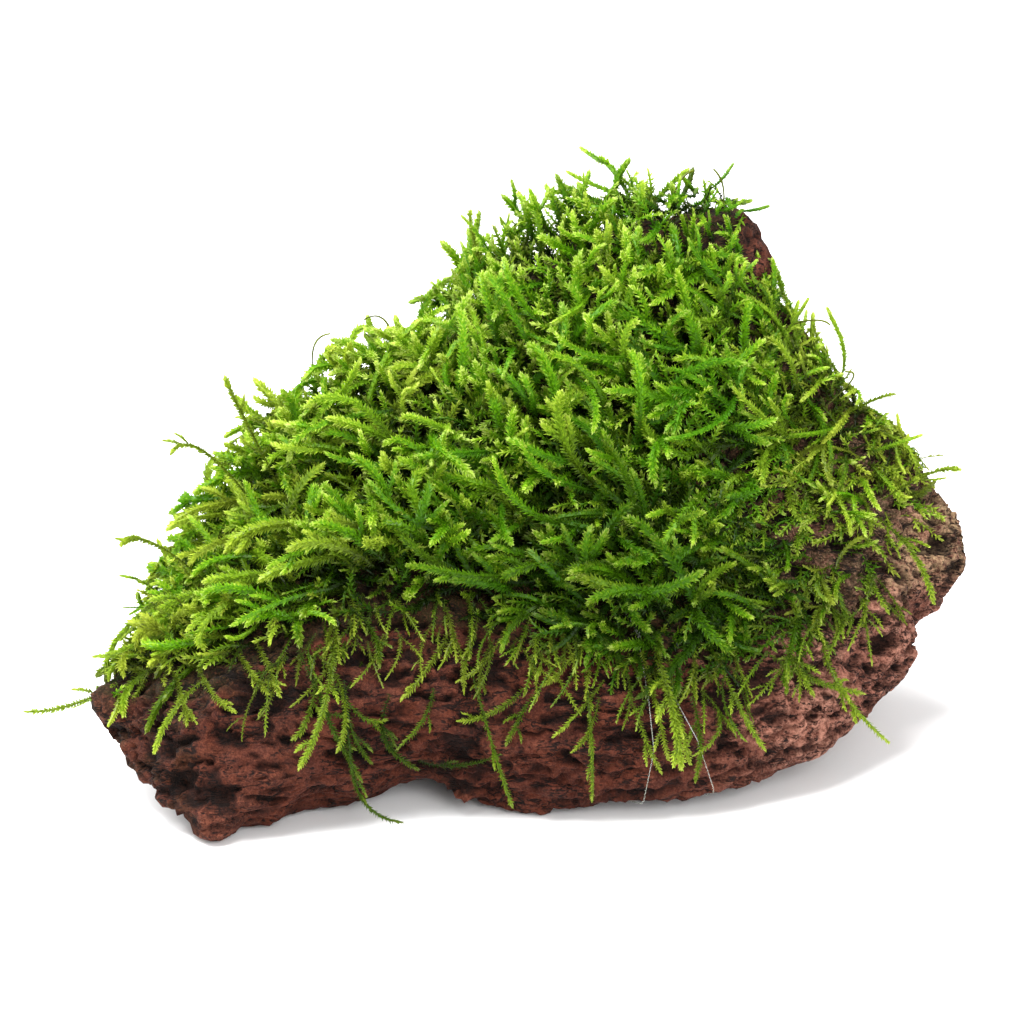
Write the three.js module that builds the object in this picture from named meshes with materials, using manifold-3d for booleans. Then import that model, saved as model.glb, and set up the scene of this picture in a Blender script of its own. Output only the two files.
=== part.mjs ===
// Java moss grown over a loose piece of red lava rock, tied on with clear nylon thread.
// Millimetres, +Z up. The front of the rock faces -Y, and its low left tip points to -X.
// The moss is a carpet over the rock's upper slopes with tufts fused to it, and longer shoots
// that trail past the carpet's edge.
import * as THREE from "three";
import { ConvexHull } from "three/addons/math/ConvexHull.js";
import { ImprovedNoise } from "three/addons/math/ImprovedNoise.js";
import { mergeVertices } from "three/addons/utils/BufferGeometryUtils.js";
import Module from "manifold-3d";

const wasm = await Module();
wasm.setup();

// Rock: the corners of its broken faces. Each can be seen in a straight line from the core.
const ROCK_CORE = new THREE.Vector3(5, 34, 21);
const ROCK_CORNERS = {
  frontFoot: [[-46, -13, -6], [-4, 3, -2], [4, 3, -2]],
  frontBottomEdge: [
    [-57, -1, 0.5], [-35.5, -9.5, 3.6], [-26, -1, 3], [-15, 3, 5.6], [-10.5, 3, 4],
    [-8.6, 1, 0.2], [6, -1, 0.4], [16, -1, 0.6], [27, 0.5, 0.6], [38, 4, 1.8], [50, 12, 8],
  ],
  frontFace: [
    [-48, -6, 9], [-31, -6.5, 13], [-17, -3, 17], [0, -2.5, 14], [17, -2, 12], [34, 2.5, 13],
    [48, 9.5, 18],
  ],
  frontRim: [
    [-62, 9, 13.5], [-47, 1, 18.5], [-36, 1, 22.5], [-24, 4, 27.5], [-11, 7, 28.5], [3, 7, 26.5],
    [17, 5.5, 24], [31, 8, 22], [44.5, 13.5, 24], [56, 22, 28],
  ],
  upperSlope: [
    [-42, 18, 25], [-28, 24, 35], [-8, 27, 43], [12, 29, 47], [31, 32, 49], [47, 34, 38],
    [-15, 40, 48], [2, 43, 60], [20, 46, 67], [36, 46, 60],
  ],
  rightNose: [
    [60.5, 21.5, 13], [59, 26, 17.2], [66.5, 29, 21], [69.5, 32, 27.5], [66, 38, 36],
  ],
  rightShoulder: [
    [60, 42, 44], [51, 46, 50], [43.5, 50, 58], [39.5, 54, 68], [35.5, 56, 81],
  ],
  crest: [
    [27, 58, 77], [12, 57, 72], [-3, 54, 66], [-13, 50, 54], [-33, 43, 41], [-46, 35, 28],
    [-57, 26, 18], [-67, 18, 10],
  ],
  backFace: [
    [32, 65, 66], [14, 66, 58], [-6, 64, 46], [-27, 56, 32], [-45, 44, 18], [47, 61, 42],
    [20, 74, 36], [-6, 71, 28], [-32, 59, 15], [60, 49, 26],
  ],
  backBottomEdge: [[51, 52, 8], [26, 67, 6], [2, 67, 5], [-25, 55, 4], [-49, 31, 4]],
  backFoot: [[31, 46, -2], [-22, 42, -2]],
  underside: [
    [-60, 9, 3], [-42, 8, 3.5], [-24, 16, 4.2], [-4, 17, 3.2], [18, 20, 3], [14, 9, 2.6],
    [27, 8, 2.6], [38, 24, 4], [48, 36, 7], [4, 42, 3], [-34, 28, 3.6],
  ],
};
const CORNER_ROUNDING = 0.05; // radians, how far the surface round each direction is averaged
const ROCK_MIDDLE = new THREE.Vector3(6, 36, 33);
const ROCK_HALF_SIZE = new THREE.Vector3(64, 38, 38);
const ROCK_DETAIL = 11;

// Rock surface: lumps, and bedding ledges that run across the front.
const LUMPS = [{ size: 19, height: 1.6 }, { size: 9, height: 1.1 }];
const LEDGE = { spacing: 9, depth: 1.3, wander: 6, below: 26 };
// Open gas hollows: where each lies on the surface, how wide it is and how deep.
const GAS_HOLLOWS = [
  { at: [-43, -5, 13], radius: 6, depth: 2.8 },
  { at: [-31, -3, 22], radius: 5.5, depth: 2.4 },
  { at: [-54, 3, 8], radius: 5.5, depth: 2 },
  { at: [-20, -2, 12], radius: 5.5, depth: 1.8 },
  { at: [-2, -1, 20], radius: 5.5, depth: 1.8 },
  { at: [26, 1, 17], radius: 5.5, depth: 1.6 },
  { at: [50, 13, 15], radius: 5.5, depth: 2.2 },
  { at: [62, 27, 23], radius: 5.5, depth: 2.6 },
  { at: [61, 38, 36], radius: 6, depth: 2.2 },
  { at: [43, 52, 62], radius: 6, depth: 2.2 },
  { at: [10, 69, 40], radius: 8, depth: 3 },
  { at: [-20, 62, 24], radius: 7, depth: 2.6 },
  { at: [36, 66, 30], radius: 8, depth: 2.8 },
  { at: [-44, 42, 12], radius: 6, depth: 2 },
];

// Moss carpet: how high above the floor it starts at each x, and how deep it grows there.
const MOSS_FRONT_EDGE = [
  [-66, 10], [-57, 14], [-47, 18], [-36, 22], [-24, 27], [3, 26], [17, 22], [45, 22], [57, 29], [66, 40],
];
const MOSS_BACK_EDGE = [
  [-66, 9], [-55, 12], [-32, 30], [-18, 41], [12, 58], [30, 68], [37, 74], [50, 50], [66, 44],
];
const MOSS_DEPTH = [
  [-66, 2], [-58, 2.4], [-50, 3.4], [-38, 6], [-18, 6], [-10, 5], [0, 6.5], [14, 6.5], [26, 4.5], [36, 1.7],
  [50, 1.3], [66, 1],
];
const MOSS_DETAIL = 13;
const FRONT_BACK_BLEND = { from: 35, to: 60 }; // y where the front edge gives way to the back one
const EDGE_RISE = 5; // height over which the carpet comes up to its full depth
const EDGE_WANDER = { size: 7, height: 2.2 };
const EDGE_SINK = 2; // how far the carpet's outer shape dips into the rock past its edge
const MOSS_LUMP = { size: 9, height: 1.8 };
const TUFT_HEIGHT = 1; // how far the tallest tufts stand out, as a share of the moss's depth
const UPWARD_GROWTH = 0.6; // how far the moss turns up from the rock's normal
const EDGE_DROOP = 1.1; // how far it turns down again at its front edge
const TOUCH_GAP = 0.3;

// Trailing shoots: root inside the carpet, a point on the way, and the tip.
const TRAILING_SHOOTS = {
  shoot_far_left: [[-57.3, 10, 16.6], [-64.1, 9, 13.7], [-70.2, 7, 13.6]],
  shoot_left_corner: [[-43.8, 2, 21], [-47.5, -6, 19.5], [-50.1, -8, 14.1]],
  shoot_left_spray: [[-25.8, 6, 27.4], [-26.8, -6, 20.3], [-30.2, -9, 12.3]],
  shoot_over_arch: [[-22, 3, 23], [-23, -7, 10], [-16.4, -7, 3.1]],
  shoot_centre_left: [[-7, 4, 22], [-3.9, -5, 14.1], [-1.1, -4.5, 4.3]],
  shoot_centre: [[9, 4, 21], [9.8, -5, 15], [10, -5, 5.4]],
  shoot_centre_right: [[18.8, 6, 24.3], [20.9, -5, 18.8], [22.3, -6, 10.9]],
  shoot_right_small: [[28.4, 6, 20.5], [30.7, -2, 17.6], [34.1, -2, 11.8]],
  shoot_right_long: [[42.8, 14, 23], [45.3, 5, 17.8], [51.9, 3, 10.7]],
  shoot_right_down: [[52.1, 27, 35.6], [56.4, 18, 33.2], [59.2, 15, 27]],
  shoot_right_tip: [[52.9, 28, 38], [58.6, 22, 44.1], [62.6, 20, 45.4]],
  shoot_shoulder: [[48, 42, 46], [52.1, 40, 49.2], [55.4, 38, 51]],
  shoot_left_mid: [[-46, 22, 28], [-52.3, 14, 36.7], [-56.2, 13, 36.6]],
  shoot_left_upper: [[-38, 28, 36], [-44.7, 20, 48.1], [-49.2, 18, 48.6]],
  shoot_left_high: [[-35, 30, 39], [-39.6, 24, 52.3], [-41.9, 24, 57.8]],
  shoot_crown_left: [[-4, 50, 60], [-6.8, 50, 71.3], [-7.4, 52, 75.1]],
};
const TRAILING = { rootRadius: 1.2, tipRadius: 0.6, sides: 5, steps: 4 };

// Nylon thread: two turns round the rock under the moss, which cross at the knot on the front.
const THREAD_KNOT = new THREE.Vector3(17, 6, 26);
const THREAD_LOW_POINTS = [new THREE.Vector3(16, 1, 1.5), new THREE.Vector3(27, 2, 3)];
const THREAD = { radius: 0.08, clearance: 0.45, sides: 6, samples: 240, leastTurn: 0.06 };
const KNOT_RADIUS = 0.55;

const MATERIALS = {
  lava: new THREE.MeshStandardMaterial({ color: 0x7a3f33, roughness: 0.95, metalness: 0 }),
  moss: new THREE.MeshStandardMaterial({ color: 0x5f9a1c, roughness: 0.6, metalness: 0 }),
  shoot: new THREE.MeshStandardMaterial({ color: 0x8fbf35, roughness: 0.55, metalness: 0 }),
  nylon: new THREE.MeshStandardMaterial({ color: 0xd8dcd6, roughness: 0.2, metalness: 0 }),
};

const UP = new THREE.Vector3(0, 0, 1);

const perlin = new ImprovedNoise();
const noise = (point, size, shift = 0) =>
  perlin.noise(point.x / size + shift, point.y / size + shift, point.z / size + shift);

// The value at x on a line through [x, value] points.
function along(points, x) {
  const next = points.findIndex(([px]) => px >= x);
  if (next === 0) return points[0][1];
  if (next < 0) return points.at(-1)[1];
  const [[x0, v0], [x1, v1]] = [points[next - 1], points[next]];
  return THREE.MathUtils.mapLinear(x, x0, x1, v0, v1);
}

// The rock's flat faces: corners joined in threes, as their directions from the core lie round it.
function rockFaces() {
  const cornerOf = new Map();
  for (const place of Object.values(ROCK_CORNERS).flat()) {
    const corner = new THREE.Vector3(...place).sub(ROCK_CORE);
    cornerOf.set(corner.clone().normalize(), corner);
  }
  return new ConvexHull().setFromPoints([...cornerOf.keys()]).faces.map((face) => {
    const directions = [face.edge, face.edge.next, face.edge.prev].map((edge) => edge.head().point);
    const [a, b, c] = directions;
    const triangle = new THREE.Triangle(...directions.map((direction) => cornerOf.get(direction)));
    const normal = triangle.getNormal(new THREE.Vector3());
    return {
      sides: [a.clone().cross(b), b.clone().cross(c), c.clone().cross(a)],
      normal,
      offset: normal.dot(triangle.a),
    };
  });
}
const faces = rockFaces();

// How far the flat faces lie from the core in one direction.
function faceRadius(direction) {
  let best = null;
  let bestInside = -Infinity;
  for (const face of faces) {
    const inside = Math.min(...face.sides.map((side) => side.dot(direction)));
    if (inside > bestInside) [best, bestInside] = [face, inside];
  }
  return best.offset / best.normal.dot(direction);
}

// The same with the edges worn round: the mean of the direction and a small ring about it.
function wornRadius(direction) {
  const ringCount = 6;
  const side = new THREE.Vector3().crossVectors(UP, direction).setLength(CORNER_ROUNDING);
  let sum = 2 * faceRadius(direction);
  for (let i = 0; i < ringCount; i++) {
    const offset = side.clone().applyAxisAngle(direction, (i / ringCount) * 2 * Math.PI);
    sum += faceRadius(offset.add(direction).normalize());
  }
  return sum / (ringCount + 2);
}

function hollowDepth(point) {
  return GAS_HOLLOWS.reduce((depth, { at, radius, depth: full }) => {
    const share = point.distanceTo(new THREE.Vector3(...at)) / radius;
    return depth + (share < 1 ? full * (1 - share * share) ** 2 : 0);
  }, 0);
}

function ledgeDepth(point) {
  if (point.z > LEDGE.below) return 0;
  const phase = (point.z + LEDGE.wander * noise(point, 22, 5)) / LEDGE.spacing;
  const fromMiddle = Math.abs(phase - Math.floor(phase) - 0.5);
  return LEDGE.depth * Math.max(0, 1 - 4 * fromMiddle);
}

// The rock's radius with its lumps, ledges and hollows, cut off flat where it stands on the floor.
function rockRadius(direction) {
  const worn = wornRadius(direction);
  const point = direction.clone().multiplyScalar(worn).add(ROCK_CORE);
  const lumps = LUMPS.reduce((sum, { size, height }) => sum + height * noise(point, size, size), 0);
  const radius = worn + lumps - hollowDepth(point) - ledgeDepth(point);
  return direction.z < 0 ? Math.min(radius, -ROCK_CORE.z / direction.z) : radius;
}

// How far the moss has come up from its edge at a point of the rock: 0 at the edge, 1 where it
// is at its full depth. Below zero, no moss grows.
function mossRise(point) {
  const towardsBack = THREE.MathUtils.smoothstep(point.y, FRONT_BACK_BLEND.from, FRONT_BACK_BLEND.to);
  const edge = THREE.MathUtils.lerp(
    along(MOSS_FRONT_EDGE, point.x), along(MOSS_BACK_EDGE, point.x), towardsBack,
  );
  const wander = EDGE_WANDER.height * noise(point, EDGE_WANDER.size, 11);
  return Math.min(1, (point.z - edge + wander) / EDGE_RISE);
}

// A closed three.js geometry as a solid that can be joined and cut, and back.
function toManifold(geometry) {
  const bare = geometry.clone();
  bare.deleteAttribute("normal");
  bare.deleteAttribute("uv");
  const merged = mergeVertices(bare, 1e-4);
  return new wasm.Manifold(new wasm.Mesh({
    numProp: 3,
    vertProperties: merged.attributes.position.array,
    triVerts: new Uint32Array(merged.index.array),
  }));
}

function toGeometry(solid) {
  const mesh = solid.getMesh();
  const geometry = new THREE.BufferGeometry();
  geometry.setAttribute("position", new THREE.BufferAttribute(new Float32Array(mesh.vertProperties), 3));
  geometry.setIndex(new THREE.BufferAttribute(new Uint32Array(mesh.triVerts), 1));
  geometry.computeVertexNormals();
  return geometry;
}

const largestPiece = (solid) =>
  solid.decompose().reduce((best, piece) => (piece.volume() > best.volume() ? piece : best));

// A ball stretched to the rock's size, so that its vertices lie evenly over the rock when they
// are moved to its surface: their directions from the core, and the rock's radius in each.
function rockBall(detail) {
  const ball = new THREE.IcosahedronGeometry(1, detail);
  ball.deleteAttribute("normal");
  ball.deleteAttribute("uv");
  const { attributes, index } = mergeVertices(ball, 1e-4);
  const directions = Array.from({ length: attributes.position.count }, (_, i) =>
    new THREE.Vector3().fromBufferAttribute(attributes.position, i)
      .multiply(ROCK_HALF_SIZE).add(ROCK_MIDDLE).sub(ROCK_CORE).normalize());
  const radii = directions.map(rockRadius);
  return { directions, radii, index };
}

function ballGeometry(ball, points) {
  const geometry = new THREE.BufferGeometry().setFromPoints(points);
  geometry.setIndex(ball.index);
  geometry.computeVertexNormals();
  return geometry;
}

function rockGeometry(ball, gap = 0) {
  return ballGeometry(ball, ball.directions.map((direction, i) =>
    direction.clone().multiplyScalar(ball.radii[i] + gap).add(ROCK_CORE)));
}

// The carpet's outer shape: the rock's surface moved out along the way that the moss grows, with
// every point a tuft of its own height. Where no moss grows it lies inside the rock.
function carpetGeometry(ball, gap = 0) {
  const { position, normal } = rockGeometry(ball).attributes;
  THREE.MathUtils.seededRandom(7);
  return ballGeometry(ball, ball.directions.map((_, i) => {
    const point = new THREE.Vector3().fromBufferAttribute(position, i);
    const growth = new THREE.Vector3().fromBufferAttribute(normal, i);
    const tuft = THREE.MathUtils.seededRandom() ** 2;
    const rise = mossRise(point);
    if (rise < 0) return point.addScaledVector(growth, -Math.min(EDGE_SINK, -rise * EDGE_RISE));
    const isFront = growth.y < 0;
    growth.addScaledVector(UP, UPWARD_GROWTH - (isFront ? EDGE_DROOP * (1 - rise) : 0)).normalize();
    const full = along(MOSS_DEPTH, point.x) + MOSS_LUMP.height * noise(point, MOSS_LUMP.size, 3);
    const depth = full * Math.sin(rise * Math.PI / 2) * (1 + TUFT_HEIGHT * tuft);
    return point.addScaledVector(growth, depth + gap);
  }));
}

// A tapered rod bent along a path that lies in one plane: each ring of a cylinder moves to a
// point of the path.
function bentRod(path, { rootRadius, tipRadius, sides }) {
  const steps = path.length - 1;
  const third = Math.floor(path.length / 3);
  const plane = new THREE.Triangle(path[0], path[third], path[2 * third]);
  const across = plane.getNormal(new THREE.Vector3());
  const rod = new THREE.CylinderGeometry(1, 1, steps, sides, steps);
  const position = rod.attributes.position;
  for (let i = 0; i < position.count; i++) {
    const ring = Math.round(position.getY(i) + steps / 2);
    const [before, after] = [path[Math.max(ring - 1, 0)], path[Math.min(ring + 1, steps)]];
    const forward = after.clone().sub(before).normalize();
    const radius = THREE.MathUtils.lerp(rootRadius, tipRadius, ring / steps);
    const point = path[ring].clone()
      .addScaledVector(across, position.getX(i) * radius)
      .addScaledVector(across.clone().cross(forward), position.getZ(i) * radius);
    position.setXYZ(i, point.x, point.y, point.z);
  }
  return toManifold(rod);
}

// A loop pulled taut round a flat outline: it goes straight from one high point to the next.
function tautLoop(outline, axis) {
  const kept = [];
  for (const point of [...outline, outline[0]]) {
    while (kept.length > 1) {
      const [before, last] = kept.slice(-2);
      const legIn = last.clone().sub(before).normalize();
      const legOut = point.clone().sub(last).normalize();
      const sineOfTurn = legIn.cross(legOut).dot(axis);
      if (sineOfTurn > THREAD.leastTurn) break;
      kept.pop();
    }
    kept.push(point);
  }
  return kept;
}

// One turn of thread in the plane through the core, the knot and a low point. Its two ends stop
// short of each other inside the knot.
function threadTurn(lowPoint, rockMesh) {
  const first = THREAD_KNOT.clone().sub(ROCK_CORE).normalize();
  const axis = first.clone().cross(lowPoint.clone().sub(ROCK_CORE)).normalize();
  const caster = new THREE.Raycaster();
  const outline = Array.from({ length: THREAD.samples }, (_, i) => {
    const direction = first.clone().applyAxisAngle(axis, (i / THREAD.samples) * 2 * Math.PI);
    caster.set(ROCK_CORE, direction);
    const radius = caster.intersectObject(rockMesh)[0].distance + THREAD.clearance + THREAD.radius;
    return direction.multiplyScalar(radius).add(ROCK_CORE);
  });
  const path = tautLoop(outline, axis);
  const lastLeg = path.at(-2).clone().sub(path[0]).setLength(KNOT_RADIUS / 2);
  path[path.length - 1] = path[0].clone().add(lastLeg);
  return path;
}

const rockShape = rockBall(ROCK_DETAIL);
const rock = toManifold(rockGeometry(rockShape));
const rockWithGap = toManifold(rockGeometry(rockShape, TOUCH_GAP));

const rockFromInside = new THREE.Mesh(
  rockGeometry(rockShape), new THREE.MeshBasicMaterial({ side: THREE.BackSide }),
);
const turns = THREAD_LOW_POINTS.map((lowPoint) => threadTurn(lowPoint, rockFromInside));
const knotCentre = turns[0][0];

// Both turns and the knot in one solid, grown fatter by a gap.
function threadSolid(gap) {
  const radius = THREAD.radius + gap;
  const size = { rootRadius: radius, tipRadius: radius, sides: THREAD.sides };
  const rods = turns.map((path) => bentRod(path, size));
  const knot = new THREE.IcosahedronGeometry(KNOT_RADIUS + gap, 1);
  return wasm.Manifold.union([...rods, toManifold(knot.translate(...knotCentre.toArray()))]);
}
const thread = threadSolid(0).subtract(rock);
const threadWithGap = threadSolid(TOUCH_GAP);

const carpetShape = rockBall(MOSS_DETAIL);
const carpetBody = toManifold(carpetGeometry(carpetShape));
const carpet = largestPiece(carpetBody.subtract(rockWithGap).subtract(threadWithGap));
const carpetWithGap = toManifold(carpetGeometry(carpetShape, 2 * TOUCH_GAP));

// A shoot starts where it leaves the carpet.
function trailingShoot(places) {
  const curve = new THREE.CatmullRomCurve3(places.map((place) => new THREE.Vector3(...place)));
  const rod = bentRod(curve.getSpacedPoints(TRAILING.steps), TRAILING);
  return largestPiece(rod.subtract(rockWithGap).subtract(carpetWithGap).subtract(threadWithGap));
}

const model = new THREE.Group();
function addMesh(name, solid, material) {
  const mesh = new THREE.Mesh(toGeometry(solid), material);
  mesh.name = name;
  model.add(mesh);
}
addMesh("lava_rock", rock, MATERIALS.lava);
addMesh("moss_carpet", carpet, MATERIALS.moss);
addMesh("nylon_thread", thread, MATERIALS.nylon);
for (const [name, places] of Object.entries(TRAILING_SHOOTS)) {
  addMesh(name, trailingShoot(places), MATERIALS.shoot);
}

// The part's origin is the middle of its footprint, on the floor.
const box = new THREE.Box3().setFromObject(model);
model.position.copy(box.getCenter(new THREE.Vector3()).setZ(box.min.z).negate());

export default model;
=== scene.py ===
"""Java moss on a lava rock: a loose lump of red lava, thickly grown over with moss that clear nylon
thread holds down. The sections follow in the order in which such a piece is put together."""

import math

import bmesh
import bpy
import numpy as np
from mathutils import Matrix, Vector, noise
from mathutils.bvhtree import BVHTree
from mathutils.kdtree import KDTree


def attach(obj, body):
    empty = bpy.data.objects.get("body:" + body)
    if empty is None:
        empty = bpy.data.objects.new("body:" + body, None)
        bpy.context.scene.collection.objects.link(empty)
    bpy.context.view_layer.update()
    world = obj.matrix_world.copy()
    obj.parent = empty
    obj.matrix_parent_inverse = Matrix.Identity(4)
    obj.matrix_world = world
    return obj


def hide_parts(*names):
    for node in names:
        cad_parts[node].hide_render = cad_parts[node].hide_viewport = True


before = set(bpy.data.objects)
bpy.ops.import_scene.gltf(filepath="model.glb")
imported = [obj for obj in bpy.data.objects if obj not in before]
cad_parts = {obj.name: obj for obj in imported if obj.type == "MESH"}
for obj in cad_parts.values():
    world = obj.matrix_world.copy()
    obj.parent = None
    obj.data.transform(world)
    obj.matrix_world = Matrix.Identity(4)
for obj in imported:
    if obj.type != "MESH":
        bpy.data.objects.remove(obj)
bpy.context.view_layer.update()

# Lava rock
# A loose lump of red-brown lava, broken from its bed. Gas bubbles left it full of pits, and the
# front shows the thin layers of the flow, with slits between them. The shade in its pits and slits
# is painted black. It stands on four feet.

MM = 0.001
DRAWING_ZERO = np.array((1.434, -32.236, 0.0))  # the drawing's zero, under the front face, in the frame
ROCK_CORE = np.array((5.0, 34.0, 21.0))  # every place on the rock's surface can be seen from here
ROCK_MIDDLE = np.array((6.0, 36.0, 33.0))
ROCK_HALF_SIZE = np.array((64.0, 38.0, 38.0))
ROCK_CELLS = 128  # along each side of the six-sided ball that becomes the rock
FRONT_PULL = np.array((0.0, -0.40, -0.08))  # gathers the ball's points towards the rock's bare front
FAR_OUT = 150.0  # mm, outside everything
UP = np.array((0.0, 0.0, 1.0))

LUMPS = ((9.0, 0.8), (4.0, 0.4), (1.7, 0.36))  # size and height
CREASE_SIZE = 5.0
CREASE_DEPTH = 0.6
LAYER_THICKNESS = 3.4
LAYER_BULGE = 0.45
SLIT_DEPTH = 0.9
LAYERS_RISE_FROM = 28.0  # mm along x, where the layers turn up towards the right end
LAYERS_RISE = 0.5
CAVITIES = ((4.2, 1.6, 0.34), (1.9, 0.8, 0.27))  # size, depth and how rare they are

# Where the rock is chipped away, or stands out where the depth is below zero: place, radius, depth.
CHIPS = (
    ((-53.0, -2.0, 0.0), 6.0, 0.6),
    ((-36.5, -8.0, 0.0), 5.0, 2.6),
    ((-28.0, -4.0, 0.5), 8.0, 3.0),
    ((-15.0, 0.0, 4.5), 6.0, 2.2),
    ((-42.5, -9.0, 1.5), 6.0, -2.6),
    ((-59.5, 9.0, 14.8), 5.5, -6.0),
    ((-8.0, 2.0, 3.5), 3.5, -1.2),
)

# Hollows that stand out, carved and with their shade painted black: where each lies, how wide and
# how deep it is, and how much longer it is along the layers.
GREAT_HOLLOWS = (
    ((-47.5, -6.0, 9.5), 2.3, 2.2, 1.4),
    ((-51.0, -4.0, 13.0), 1.6, 1.6, 1.3),
    ((-50.5, -6.0, 7.0), 1.3, 1.4, 1.2),
    ((-44.5, -7.0, 6.0), 1.3, 1.4, 1.5),
    ((-42.0, -4.0, 15.0), 1.5, 1.6, 1.7),
    ((-36.5, -2.0, 20.0), 2.0, 2.0, 2.4),
    ((-31.5, -2.0, 21.5), 1.6, 1.6, 1.8),
    ((-53.0, 0.0, 10.0), 1.8, 1.5, 1.2),
    ((-25.5, -2.5, 12.0), 1.2, 1.6, 1.6),
    ((-17.0, -1.0, 23.5), 1.2, 1.4, 2.6),
    ((-8.0, 0.0, 11.5), 1.1, 1.3, 3.0),
    ((6.0, 0.0, 18.5), 1.1, 1.3, 2.6),
    ((33.0, 3.0, 20.5), 1.5, 1.6, 2.2),
    ((54.0, 16.0, 20.5), 1.8, 2.4, 1.5),
    ((50.0, 17.0, 37.5), 2.0, 2.0, 1.3),
    ((63.0, 30.0, 31.5), 2.2, 2.4, 1.6),
)
ROUND_PITS = {"count": 1600, "widths": (0.35, 1.1), "depth": 1.0, "stretch": (1.0, 2.4)}

# Parts of the rock, each bounded by soft steps: an axis, where the part begins and where it is full.
ROUGH_FOOT = (("x", -36, -46),)
LEFT_HALF = (("x", -28, -50),)
MOSSY_FOOT = (("x", -38, -50),)
LEFT_TIP = (("x", -55, -61), ("z", 6, 11))
BARE_CORNER = (("x", 31, 33.5), ("z", 62, 66))
PALE_CORNER = (("x", 25, 31), ("z", 58, 64))
CREST = (("z", 58, 64),)
RIGHT_END = (("x", 44, 58), ("z", 21, 29))
PINK_SIDE = (("x", 16, 50), ("z", 64, 54))

ROCK_RED = (0.114, 0.028, 0.014, 1)
ROCK_PINK = (0.32, 0.120, 0.082, 1)
ROCK_DARK_RED = (0.046, 0.012, 0.008, 1)
ROCK_WARM = (0.225, 0.070, 0.041, 1)
ROCK_PALE = (0.56, 0.27, 0.19, 1)
HOLLOW_SHADE_BLACK = (0.006, 0.004, 0.0035, 1)
SOOT_AND_SHADOW_BROWN = (0.014, 0.010, 0.008, 1)
ALGAE_AND_SHADE_GREEN = (0.014, 0.020, 0.005, 1)
WEATHERED_TAN = (0.44, 0.30, 0.16, 1)


def unit(vectors):
    return vectors / np.linalg.norm(vectors, axis=-1, keepdims=True)


def dots(a, b):
    return np.sum(a * b, axis=-1, keepdims=True)


def smooth(values, start, end):
    """0 before start and 1 after end, with a soft step between."""
    t = np.clip((values - start) / (end - start), 0, 1)
    return t * t * (3 - 2 * t)


def zone(points, steps):
    """1 at the points inside a part of the rock and 0 outside it, with soft steps between."""
    inside = np.ones(len(points))
    for axis, start, end in steps:
        inside *= smooth(points[:, "xyz".index(axis)], start, end)
    return inside


def noise_at(points, size, octaves=1, shift=0.0):
    """Noise between about -1 and 1 at each point, with features of the given size. Each shift
    gives another pattern."""
    return np.array([noise.fractal(Vector(p), 1.0, 2.0, octaves) for p in points / size + shift])


def patches(size, octaves, shift, start, end):
    """Soft-edged patches of the given size on the rock. They are small where start is high."""
    return smooth(noise_at(rock_points, size, octaves, shift), start, end)


def solid_surface(node, smoothing=0):
    """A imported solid's surface in drawing millimetres, rounded off where smoothing says, for rays."""
    merged = bmesh.new()
    merged.from_mesh(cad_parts[node].data)
    bmesh.ops.remove_doubles(merged, verts=merged.verts, dist=1e-6)
    shape = bpy.data.objects.new("surface", bpy.data.meshes.new("surface"))
    merged.to_mesh(shape.data)
    bpy.context.scene.collection.objects.link(shape)
    shape.modifiers.new("rounding", "SUBSURF").levels = smoothing
    mesh = shape.evaluated_get(bpy.context.evaluated_depsgraph_get()).to_mesh()
    points = np.array([v.co for v in mesh.vertices]) / MM - DRAWING_ZERO
    faces = [tuple(p.vertices) for p in mesh.polygons]
    bpy.data.objects.remove(shape)
    return BVHTree.FromPolygons(points.tolist(), faces)


def outer_radius(surface, directions):
    """How far from the core the surface lies in each direction, or 0 where it has none."""
    radii = np.zeros(len(directions))
    for i, direction in enumerate(directions):
        start = Vector(ROCK_CORE + direction * FAR_OUT)
        hit = surface.ray_cast(start, Vector(-direction), FAR_OUT)
        if hit[0] is not None:
            radii[i] = FAR_OUT - hit[3]
    return radii


def add_mesh(name, points, faces):
    """An object from points in drawing millimetres."""
    mesh = bpy.data.meshes.new(name)
    mesh.from_pydata((points + DRAWING_ZERO) * MM, [], faces)
    piece = bpy.data.objects.new(name, mesh)
    bpy.context.scene.collection.objects.link(piece)
    return piece


def add_values(piece, name, values):
    """A colour layer that a material reads, with one row for each point of the mesh."""
    rows = np.ones((len(values), 4))
    rows[:, : values.shape[1]] = values
    layer = piece.data.attributes.new(name, "FLOAT_COLOR", "POINT")
    layer.data.foreach_set("color", rows.ravel())


def point_normals(piece):
    normals = np.empty(len(piece.data.vertices) * 3)
    piece.data.vertex_normals.foreach_get("vector", normals)
    return normals.reshape(-1, 3)


def finder(points):
    """A tree that finds the points near a place."""
    found = KDTree(len(points))
    for index, point in enumerate(points):
        found.insert(Vector(point), index)
    found.balance()
    return found


def carve(points, near, shape, place, width, depth, stretch, axis):
    """Deepens shape by a hollow with steep, uneven walls, stretched along an axis."""
    found = [i for _, i, _ in near.find_range(Vector(place), width * stretch * 1.3)]
    offset = points[found] - place
    along = dots(offset, axis)
    across = np.linalg.norm(offset - along * axis, axis=1)
    reach = np.hypot(along[:, 0] / stretch, across) / width
    reach += 0.4 * noise_at(points[found], 0.8 * width + 0.6, 2)
    shape[found] = np.maximum(shape[found], depth * (1 - smooth(reach, 0.5, 1.05)))


# The ball's points are spread evenly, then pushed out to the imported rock's surface.
ball = bmesh.new()
bmesh.ops.create_cube(ball, size=2)
bmesh.ops.subdivide_edges(ball, edges=ball.edges[:], cuts=ROCK_CELLS - 1, use_grid_fill=True)
ball_points = np.array([v.co for v in ball.verts])
rock_faces = [[v.index for v in face.verts] for face in ball.faces]
ball_points = unit(unit(np.tan(ball_points * math.pi / 4)) + FRONT_PULL) * ROCK_HALF_SIZE
rock_directions = unit(ROCK_MIDDLE + ball_points - ROCK_CORE)

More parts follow.
